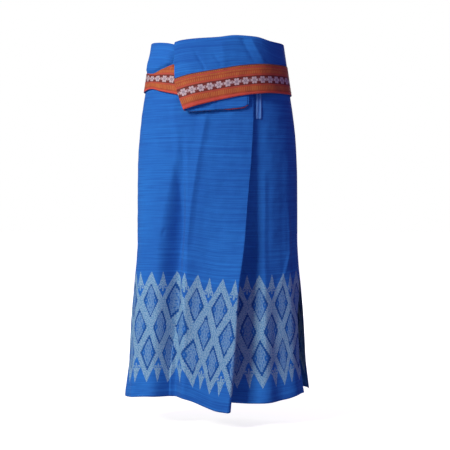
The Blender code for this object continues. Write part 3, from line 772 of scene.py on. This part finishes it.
# Masks of what is pale, of the cores, and of the dark outlines between them.
def diamonds(paint):
    def stepped(stepAcross, stepUp):
        row = (paint.up.stepped(stepUp) - border["middle"]) / border["pitch"]
        return paint.across.stepped(stepAcross) / border["period"], row

    column, row = stepped(*diamond["broadStep"])
    lattice = abs((column * 2 + row) % 2 - 1).most(abs((column * 2 - row) % 2 - 1))
    band, core = lattice > diamond["band"], lattice < diamond["core"]
    column, row = stepped(*diamond["fineStep"])
    row = abs(row)
    fromOuter = abs((column + 0.5) % 1 - 0.5) * 2  # off the axes of the first and third rows
    fromMiddle = abs(column % 1 - 0.5) * 2
    outerReach, middleReach = fromOuter + abs(row - 1), fromMiddle + row
    inBorder = outerReach.least(middleReach) < diamond["reach"]
    inOuter = outerReach < middleReach
    aside = inOuter * fromOuter + (1 - inOuter) * fromMiddle
    above = inOuter * abs(row - 1) + (1 - inOuter) * row

    def spots(kind):
        return anyOf([(abs(aside - x) + abs(above - z) * 0.8) < size for x, z, size in diamond[kind]])

    slope, start = diamond["corner"]
    inside = core * (1 - (aside > (above * slope + start))) * (1 - spots("darks") * 0.8)
    pale = inBorder * band.most(inside).most(spots("lights") * core)
    spike, curl, stem = diamond["spike"], diamond["curl"], diamond["stem"]
    spikes = (row > spike["from"]) * (fromMiddle < ((spike["tip"] - row) * spike["slope"]))
    offX, offZ = fromMiddle - curl["aside"], row - curl["above"]
    ring = offX * offX * curl["flatness"][0] + offZ * offZ * curl["flatness"][1]
    curls = (ring > curl["ring"][0]) * (ring < curl["ring"][1])
    stems = (fromMiddle < stem["half"]) * (row > stem["from"]) * (row < stem["to"])
    return anyOf([pale, spikes, curls, stems]), core * inBorder, (1 - band) * (1 - core * 0.7) * inBorder


print("materials started")
materials = {
    "borderCloth": bluePaint("borderCloth", True),
    "plainCloth": bluePaint("plainCloth", False),
}


# The woven ribbon: an orange stripe each side of a maroon one with flowers, a coral lower edge, and painted
# shade as a thin dark line along its upper edge.
ribbon = {
    "offCloth": 0.0012,
    "thread": 0.001,
    "step": 0.0009,  # of the woven edges
    "worn": (60.0, 60.0, 2.0),
    "coralTop": 0.0088,  # heights are over the ribbon's lower edge
    "marks": [  # golden marks: pitch, half width as a share of it, height, half height
        (0.0046, 0.24, 0.0175, 0.0052),
        (0.0046, 0.22, 0.0565, 0.003),
        (0.0031, 0.27, 0.064, 0.0016),
        (0.0046, 0.25, 0.0715, 0.0016),
    ],
    "gaps": (0.0092, 0.14, 0.0175, 0.002),  # in every second mark of the first row
    "roseLines": [(0.0255, 0.001), (0.0502, 0.0013), (0.068, 0.0014)],  # height, half height
    # where the painted shade along the ribbon's upper edge starts
    "paintedShadeFrom": 0.0732,
    "groundHalf": 0.0104,
    "flowerPitch": 0.0218,
    "flowerHeight": 0.037,
    "flowerRadius": 0.0068,
    "petalLength": 0.0022,
    "notch": (0.28, 0.0042),  # between the petals, from this radius on
    "heart": 0.0034,
    "seed": 0.0011,
    "link": (0.0008, 0.0022, 0.004),  # between flowers: from, to, half height
    "coral": (0.47, 0.058, 0.037),
    "orange": (0.345, 0.058, 0.016),
    "gold": (0.42, 0.148, 0.03),
    "maroon": (0.115, 0.014, 0.012),
    "rose": (0.42, 0.05, 0.05),
    # painted shade: the colour of the thin dark line along the ribbon's upper edge
    "paintedEdgeShade": (0.02, 0.01, 0.04),
    "lilac": (0.42, 0.335, 0.36),
    "violet": (0.19, 0.15, 0.19),
    "finish": {"Metallic": 0.0, "Sheen Weight": 0.1, "Sheen Roughness": 0.4, "Specular IOR Level": 0.3},
}


def ribbonPaint():
    paint = Paint("wovenRibbon", ribbon["finish"])
    u, v = paint.across.stepped(ribbon["step"]), paint.up.stepped(ribbon["step"])

    def marked(pitch, half, height, halfHeight):
        return (abs((u / pitch) % 1 - 0.5) < half) * (abs(v - height) < halfHeight)

    ticks, *others = (marked(*row) for row in ribbon["marks"])
    gold = anyOf([ticks * (1 - marked(*ribbon["gaps"])), *others])
    rose = anyOf([abs(v - height) < half for height, half in ribbon["roseLines"]])
    pitch = ribbon["flowerPitch"]
    aside, above = (u / pitch) % 1 * pitch - pitch / 2, v - ribbon["flowerHeight"]
    away = (aside * aside + above * above).root()
    petals = abs((above.angle(aside) * 3.0).cosine())
    flower = away < (petals * ribbon["petalLength"] + ribbon["flowerRadius"])
    notch = (petals < ribbon["notch"][0]) * (away > ribbon["notch"][1])
    between = abs((u / pitch + 0.5) % 1 - 0.5) * pitch
    start, end, half = ribbon["link"]
    link = (between > start) * (between < end) * (abs(above) < half)
    coral = paint.up < ribbon["coralTop"]
    worn = paint.noise(*ribbon["worn"])
    colour = paint.mixed(worn.soft(0.35, 0.65) * 0.25 + 0.75, ribbon["maroon"], ribbon["orange"])
    layers = (
        (gold * 0.75, "gold"),
        (rose * 0.5, "rose"),
        # painted shade: a thin dark line along the upper edge
        ((v > ribbon["paintedShadeFrom"]) * 0.85, "paintedEdgeShade"),
        (abs(above) < ribbon["groundHalf"], "maroon"),
        (flower * (1 - notch * 0.6), "lilac"),
        (away < ribbon["heart"], "violet"),
        (away < ribbon["seed"], "lilac"),
        (link * 0.8, "lilac"),
        (coral, "coral"),
    )
    for share, dye in layers:
        colour = paint.mixed(share, colour, ribbon[dye])
    raised = flower.most(gold) * 0.8 + (1 - coral) * 0.6 + threads(paint, ribbon["thread"]) * 0.5 + worn * 0.3
    return paint.finished(colour, 0.72, raised, 0.0005, 0.6)


materials["ribbon"] = ribbonPaint()


# The tie: a ring round the waist, and a hanging end with a sewn welt along each side, painted lighter along
# the welts as a painted highlight.
tie = {
    "thickness": 0.0012,
    "halfHeight": 0.008,
    "ringRows": 7,
    "endRows": 56,
    "endColumns": 17,
    "endX": 0.0995,
    "endHalfWidth": 0.007,
    "endTip": -0.141,
    "endLow": -0.075,  # up to here it lies on the underlap, and above it comes out to the ring
    "narrowing": (0.05, 60.0),  # share of the width, radians per metre
    "swing": (0.0008, 45.0),
    "welt": {"out": 0.0007, "at": 0.57, "half": 0.35},  # at and half as shares of the half width
    "seam": {"at": 0.004, "from": 0.0022, "to": 0.0008},
    "worn": (90.0, 40.0, 2.0),
    # painted highlight: the lighter blue along the welts' ridges
    "edge": (0.13, 0.3, 0.64),
}


def tiePaint():
    paint = Paint("tieCloth", blueCloth["finish"])
    worn = paint.noise(*tie["worn"])
    colour = paint.mixed(worn.soft(0.3, 0.7), blueCloth["dark"], blueCloth["plain"])
    sewn = abs(abs(paint.across) - tie["seam"]["at"]).soft(tie["seam"]["from"], tie["seam"]["to"])
    # painted highlight along the welts, over an end that is a quarter lighter throughout
    colour = paint.mixed(sewn * 0.45 + 0.25, colour, tie["edge"])
    height = threads(paint, blueCloth["thread"]) * 0.4 + sewn + worn * 0.3
    return paint.finished(colour, 0.8, height, 0.0005, 0.6)


materials["tie"] = tiePaint()


def threadPaint(name, colour):
    paint = Paint(name, {"Metallic": 0.0, "Specular IOR Level": 0.3})
    worn = paint.noise(400.0, 400.0, 2.0)
    dye = paint.mixed(worn.soft(0.3, 0.7), tuple(0.8 * part for part in colour), colour)
    return paint.finished(dye, 0.6, worn, 0.0002, 0.4)


sewingThreads = {
    "blueThread": (0.03, 0.15, 0.5),
    "redThread": (0.4, 0.06, 0.04),
    "brownThread": (0.09, 0.02, 0.016),
}
for name, colour in sewingThreads.items():
    materials[name] = threadPaint(name, colour)


pieces = {}  # by name


# A grid of points as a mesh with its place on the cloth, and its thickness as a live modifier.
def clothPiece(name, points, place, material, thickness=drape["thickness"], ring=False):
    rows, columns = points.shape[:2]
    number = np.arange(rows * columns).reshape(rows, columns)
    right = np.roll(number, -1, axis=1) if ring else number[:, 1:]
    left = number if ring else number[:, :-1]
    faces = np.stack([left[:-1], right[:-1], right[1:], left[1:]], axis=-1).reshape(-1, 4)
    mesh = bpy.data.meshes.new(name)
    mesh.from_pydata(points.reshape(-1, 3).tolist(), [], faces.tolist())
    spots = place.reshape(-1, 2)[faces.reshape(-1)]
    if ring:  # the last column's faces run on past the end
        past = 2 * place[:, -1, 0] - place[:, -2, 0]
        spots = spots.reshape(rows - 1, columns, 4, 2)
        spots[:, -1, 1, 0], spots[:, -1, 2, 0] = past[:-1], past[1:]
    mesh.uv_layers.new(name="cloth").data.foreach_set("uv", spots.reshape(-1))
    shape = bmesh.new()
    shape.from_mesh(mesh)
    bmesh.ops.recalc_face_normals(shape, faces=shape.faces)
    shape.to_mesh(mesh)
    shape.free()
    mesh.shade_smooth()
    mesh.materials.append(materials[material])
    pieces[name] = addObject(name, mesh)
    thicken = pieces[name].modifiers.new("cloth", "SOLIDIFY")
    thicken.thickness, thicken.offset = thickness, 0.0


ribbonRows = slice(-fineness["ribbon"] - 1, None)


def ribbonOn(points, side):
    return moved(points, side * ribbon["offCloth"])[ribbonRows]


leftAndLap = outer[:, :-turn]
peeping = {"out": 0.0018, "sides": (0.012, 0.03)}  # the red edge below the tab, under the flap
lapRibbon = drawnIn(ribbonOn(middle, -1))
lapRibbon[-1, :, 2] -= peeping["out"] * ramp(*peeping["sides"], lapRibbon[-1, :, 0])
cloths = {
    "frontOverlap": (outer, "outer"),
    "lapInside": (drawnIn(middle), "middle"),
    "frontUnderlap": (inner, "inner"),
    "backPanel": (back, "back"),
}
for name, (points, place) in cloths.items():
    clothPiece(name, points, clothPlace[place], "borderCloth")
ribbons = {  # the strip, its lower edge, and where its flowers start
    "ribbonLeft": (ribbonOn(leftAndLap, 1), "leftEdge", 0.0095),
    "ribbonLap": (lapRibbon, "middleEdge", 0.0),
    "ribbonFront": (ribbonOn(inner, 1), "frontEdge", 0.009),
    "ribbonBack": (ribbonOn(back, 1), "backEdge", 0.0),
}
for name, (strip, edge, start) in ribbons.items():
    clothPiece(name, strip, followed(strip, edge, start), "ribbon")
print("cloth and ribbons made")


def atLevel(points, levels, wanted):  # where each column of points comes to a level
    columns = zip(levels.T, points.swapaxes(0, 1))
    return np.array([[np.interp(wanted, at, column[:, k]) for k in range(3)] for at, column in columns])


def atHeight(points, z):
    body = points[: fineness["rows"] + 1]
    return atLevel(body, body[..., 2], z)


def overEdge(x):
    return 2 * drape["layer"] * (1 - ramp(*drape["lapRight"], x))


fromFold = slice(turn + fineness["lap"], None)  # the columns of the underlap that show


def tieRing():
    rows = []
    for z in np.linspace(-tie["halfHeight"], tie["halfHeight"], tie["ringRows"]):
        left = atHeight(leftAndLap, z)
        right = atHeight(inner[:, fromFold], z)[1:]
        ring = np.concatenate([left, right, atHeight(back, z)[1:-1]])
        off = np.concatenate([0 * left[:, 0], overEdge(right[:, 0]), np.zeros(fineness["back"] - 1)])
        along = np.roll(ring, -2, axis=0) - np.roll(ring, 2, axis=0)  # the ring closes on itself
        outward = np.stack([along[:, 1], -along[:, 0], 0 * off], axis=1)
        outward /= np.linalg.norm(outward, axis=1, keepdims=True)
        rows.append(ring + outward * (drape["layer"] + off)[:, None])
    return np.array(rows)


def tieEnd():
    across = np.linspace(-1, 1, tie["endColumns"])
    share, waves = tie["narrowing"]
    swing, swings = tie["swing"]
    rows = []
    for z in np.linspace(-tie["halfHeight"] - drape["seamGap"], tie["endTip"], tie["endRows"]):
        halfWidth = tie["endHalfWidth"] * (1 - share * math.sin(waves * z))
        x = tie["endX"] + halfWidth * across + swing * math.sin(swings * z)
        under = atHeight(inner[:, fromFold], z)
        rows.append(np.stack([x, np.interp(x, under[:, 0], under[:, 1]), z + 0 * x], axis=1))
    points = np.array(rows)
    comeOut = ramp(tie["endLow"], -tie["halfHeight"], points[..., 2])
    welt = tie["welt"]["out"] * hump((np.abs(across) - tie["welt"]["at"]) / tie["welt"]["half"])
    return moved(points, drape["layer"] + welt + overEdge(points[..., 0]) * comeOut), across


ring = tieRing()
ringPlace = np.stack([lengthsAlong(ring), ring[..., 2]], axis=-1)
clothPiece("waistTie", ring, ringPlace, "plainCloth", ring=True)
endPoints, endAcross = tieEnd()
endPlace = np.stack([tie["endHalfWidth"] * endAcross + 0 * endPoints[..., 0], endPoints[..., 2]], axis=-1)
clothPiece("tieEnd", endPoints, endPlace, "tie", thickness=tie["thickness"])
print("tie made")


# Sewing: one Geometry Nodes tree lays stitches along a line.
stitching = {
    "pitch": 0.0042,
    "length": 0.003,
    "thickness": 0.0005,
    "seed": 7,
    "onFace": 0.0007,  # off the middle of the cloth
    "hemRows": 20,  # more than enough for the height of the hem
    "slitFrom": 3,
    "slitTop": -0.49,
}


def stitchTree():
    tree = bpy.data.node_groups.new("stitchesAlongLine", "GeometryNodeTree")
    face = tree.interface
    face.new_socket("Line", in_out="INPUT", socket_type="NodeSocketGeometry")
    kinds = {"Pitch": "Float", "Length": "Float", "Thickness": "Float", "Seed": "Int", "Thread": "Material"}
    for name, kind in kinds.items():
        face.new_socket(name, in_out="INPUT", socket_type="NodeSocket" + kind)
    face.new_socket("Stitches", in_out="OUTPUT", socket_type="NodeSocketGeometry")

    def add(kind, sockets, **settings):
        return addNode(tree, kind, settings, sockets).outputs

    given = add("NodeGroupInput", {})
    line = add("GeometryNodeMeshToCurve", {"Mesh": given["Line"]})[0]
    spaced = add("GeometryNodeResampleCurve", {"Curve": line, "Length": given["Pitch"]}, mode="LENGTH")[0]
    points = add("GeometryNodeCurveToPoints", {"Curve": spaced}, mode="EVALUATED")
    bead = add("GeometryNodeMeshUVSphere", {"Segments": 6, "Rings": 4, "Radius": 0.5})[0]
    uneven = add("FunctionNodeRandomValue", {2: 0.9, 3: 1.1, "Seed": given["Seed"]}, data_type="FLOAT")[1]
    long = add("ShaderNodeMath", {0: given["Length"], 1: uneven}, operation="MULTIPLY")[0]
    size = add("ShaderNodeCombineXYZ", {0: given["Thickness"], 1: given["Thickness"], 2: long})[0]
    aimed = add("FunctionNodeAlignRotationToVector", {"Vector": points["Tangent"]}, axis="Z")[0]
    beads = {"Points": points[0], "Instance": bead, "Rotation": aimed, "Scale": size}
    real = add("GeometryNodeRealizeInstances", {0: add("GeometryNodeInstanceOnPoints", beads)[0]})[0]
    dyed = add("GeometryNodeSetMaterial", {"Geometry": real, "Material": given["Thread"]})[0]
    add("NodeGroupOutput", {0: dyed})
    return tree


stitchesAlongLine = stitchTree()


sewnOn = {}  # the stitches of each piece of cloth


def stitched(name, cloth, lines, thread):
    mesh = bpy.data.meshes.new(name)
    points, sides, start = [], [], 0
    for line in lines:
        points += [tuple(map(float, point)) for point in line]
        sides += [(start + i, start + i + 1) for i in range(len(line) - 1)]
        start += len(line)
    mesh.from_pydata(points, sides, [])
    sewn = addObject(name, mesh)
    modifier = sewn.modifiers.new("stitches", "NODES")
    modifier.node_group = stitchesAlongLine
    given = {name.capitalize(): value for name, value in stitching.items()} | {"Thread": materials[thread]}
    for item in stitchesAlongLine.interface.items_tree:
        if item.name in given:
            modifier[item.identifier] = given[item.name]
    graph = bpy.context.evaluated_depsgraph_get()
    plain = bpy.data.meshes.new_from_object(sewn.evaluated_get(graph))
    sewn.modifiers.clear()
    sewn.data = plain
    plain.shade_smooth()
    if not plain.uv_layers:
        plain.uv_layers.new(name="cloth")
    plain.uv_layers[0].name = "cloth"
    pieces[name] = sewn
    sewnOn.setdefault(cloth, []).append(sewn)


def hemLine(points, up):  # on the cloth's face, as high as the hem is turned up
    low = slice(stitching["hemRows"])
    return atLevel(moved(points[low], stitching["onFace"]), up[low], blueCloth["hem"])


def sideLine(points, column):  # up the edge of the slit, on the cloth's face
    face = moved(points, stitching["onFace"])[stitching["slitFrom"] : fineness["rows"] + 1, column]
    return face[face[:, 2] < stitching["slitTop"]]


underSide, backSide = (sideLine(points, column) for points, column in ((inner, -4), (back, 3)))
hems = {
    "frontOverlap": ("Over", [hemLine(leftAndLap, outerUp)]),
    "frontUnderlap": ("Under", [hemLine(inner[:, fromFold], innerUp[:, fromFold]), underSide]),
    "backPanel": ("Back", [hemLine(back, backUp), backSide]),
}
for cloth, (part, lines) in hems.items():
    stitched("hemStitches" + part, cloth, lines, "blueThread")
for side, source in (("Left", leftAndLap), ("Front", inner), ("Back", back)):
    face = moved(source, ribbon["offCloth"] + stitching["onFace"])[ribbonRows]
    for edge, row, thread in (("Upper", 1, "brownThread"), ("Lower", -3, "redThread")):
        stitched("ribbonStitches" + side + edge, "ribbon" + side, [face[row]], thread)
print("stitches sewn")


# Cuts of the sheets, and which solids they stand for.
cuts = {
    "frontOverlap": ("front_overlap", (0.38, 0.98)),
    "lapInside": ("lap_inside", (0.155, 1.02)),
    "frontUnderlap": ("front_underlap", (0.33, 1.01)),
    "backPanel": ("back_panel", (0.52, 0.99)),
    "ribbonLeft": ("ribbon_left", (0.34, 0.07)),
    "ribbonLap": ("ribbon_lap", (0.195, 0.076)),
    "ribbonFront": ("ribbon_front", (0.35, 0.075)),
    "ribbonBack": ("ribbon_back", (0.475, 0.071)),
    "waistTie": ("waist_tie", (0.98, 0.016)),
    "tieEnd": ("tie_end", (0.015, 0.145)),
}
for name, piece in pieces.items():
    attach(piece, "root")
for name, (node, flat) in cuts.items():
    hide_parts(node)


studio = {
    "floor": -0.885,
    "floorHalf": 30.0,
    "floorColour": (0.45, 0.45, 0.45),
    "floorGlow": (0.74, 1.02),
    "floorFades": (0.5, 2.5),
    "camera": (0.01875, -3.15, -0.3685),
    "tilt": -0.0093,
    "seen": 1.125,  # the width that the camera sees at the skirt, in metres
    "aim": (0.0, 0.0, -0.4),
    "key": {"at": (-2.75, -2.5, 1.7), "size": 1.3, "power": 205.0, "colour": (1.0, 0.98, 0.86)},
    "fill": {"at": (1.2, -4.0, 0.6), "size": 2.5, "power": 17.0, "colour": (0.74, 0.52, 1.0)},
    "back": {"at": (0.6, 4.5, 1.2), "size": 2.5, "power": 130.0, "colour": (1.0, 0.98, 0.92)},
    "world": (0.145, 0.06, 0.245),
}


def addLamp(name):
    lamp = addObject(name, bpy.data.lights.new(name, "AREA"))
    lamp.location = studio[name]["at"]
    aim = np.array(studio["aim"]) - studio[name]["at"]
    tip = math.atan2(math.hypot(aim[0], aim[1]), -aim[2])
    lamp.rotation_euler = (tip, 0, math.atan2(aim[1], aim[0]) - math.pi / 2)
    lamp.data.size = studio[name]["size"]
    lamp.data.energy = studio[name]["power"]
    lamp.data.color = studio[name]["colour"]


def seenOnly(tree, shown, other, joint):  # what the camera sees apart from what lights the cloth
    seen = addNode(tree, "ShaderNodeLightPath", {}, {}).outputs["Is Camera Ray"]
    mix = addNode(tree, "ShaderNodeMixShader", {}, {0: seen, 1: other, 2: shown})
    tree.links.new(mix.outputs[0], joint)


def floorPaint():
    paint = bpy.data.materials.new("paleFloor")
    paint.use_nodes = True
    tree = paint.node_tree
    shader = tree.nodes["Principled BSDF"]
    shader.inputs["Base Color"].default_value = (*studio["floorColour"], 1)
    shader.inputs["Roughness"].default_value = 0.9
    place = addNode(tree, "ShaderNodeTexCoord", {}, {}).outputs["Object"]
    away = addNode(tree, "ShaderNodeVectorMath", {"operation": "LENGTH"}, {0: place}).outputs["Value"]
    levels = dict(enumerate((away, *studio["floorFades"], *studio["floorGlow"])))
    fade = addNode(tree, "ShaderNodeMapRange", {}, levels).outputs[0]
    glow = addNode(tree, "ShaderNodeEmission", {}, {"Strength": fade}).outputs[0]
    lit = addNode(tree, "ShaderNodeAddShader", {}, {0: shader.outputs[0], 1: glow}).outputs[0]
    seenOnly(tree, lit, shader.outputs[0], tree.nodes["Material Output"].inputs[0])
    return paint


def makeFloor():
    mesh, half = bpy.data.meshes.new("floor"), studio["floorHalf"]
    corners = ((-half, -half), (half, -half), (half, half), (-half, half))
    mesh.from_pydata([(x, y, studio["floor"]) for x, y in corners], [], [(0, 1, 2, 3)])
    mesh.materials.append(floorPaint())
    addObject("floor", mesh)


def makeCamera():
    camera = addObject("camera", bpy.data.cameras.new("camera"))
    camera.location = studio["camera"]
    camera.rotation_euler = (math.pi / 2 + studio["tilt"], 0, 0)
    camera.data.sensor_fit = "HORIZONTAL"
    camera.data.angle = 2 * math.atan(studio["seen"] / 2 / -studio["camera"][1])
    bpy.context.scene.camera = camera


def makeWorld():
    world = bpy.data.worlds.new("studio")
    bpy.context.scene.world = world
    world.use_nodes = True
    light = world.node_tree.nodes["Background"].outputs[0]
    light.node.inputs["Color"].default_value = (*studio["world"], 1)
    seen = addNode(world.node_tree, "ShaderNodeBackground", {}, {"Color": (1, 1, 1, 1)}).outputs[0]
    seenOnly(world.node_tree, seen, light, world.node_tree.nodes["World Output"].inputs[0])


makeFloor()
makeCamera()
for name in ("key", "fill", "back"):
    addLamp(name)
makeWorld()
bpy.context.scene.view_settings.view_transform = "Standard"
print("studio set")
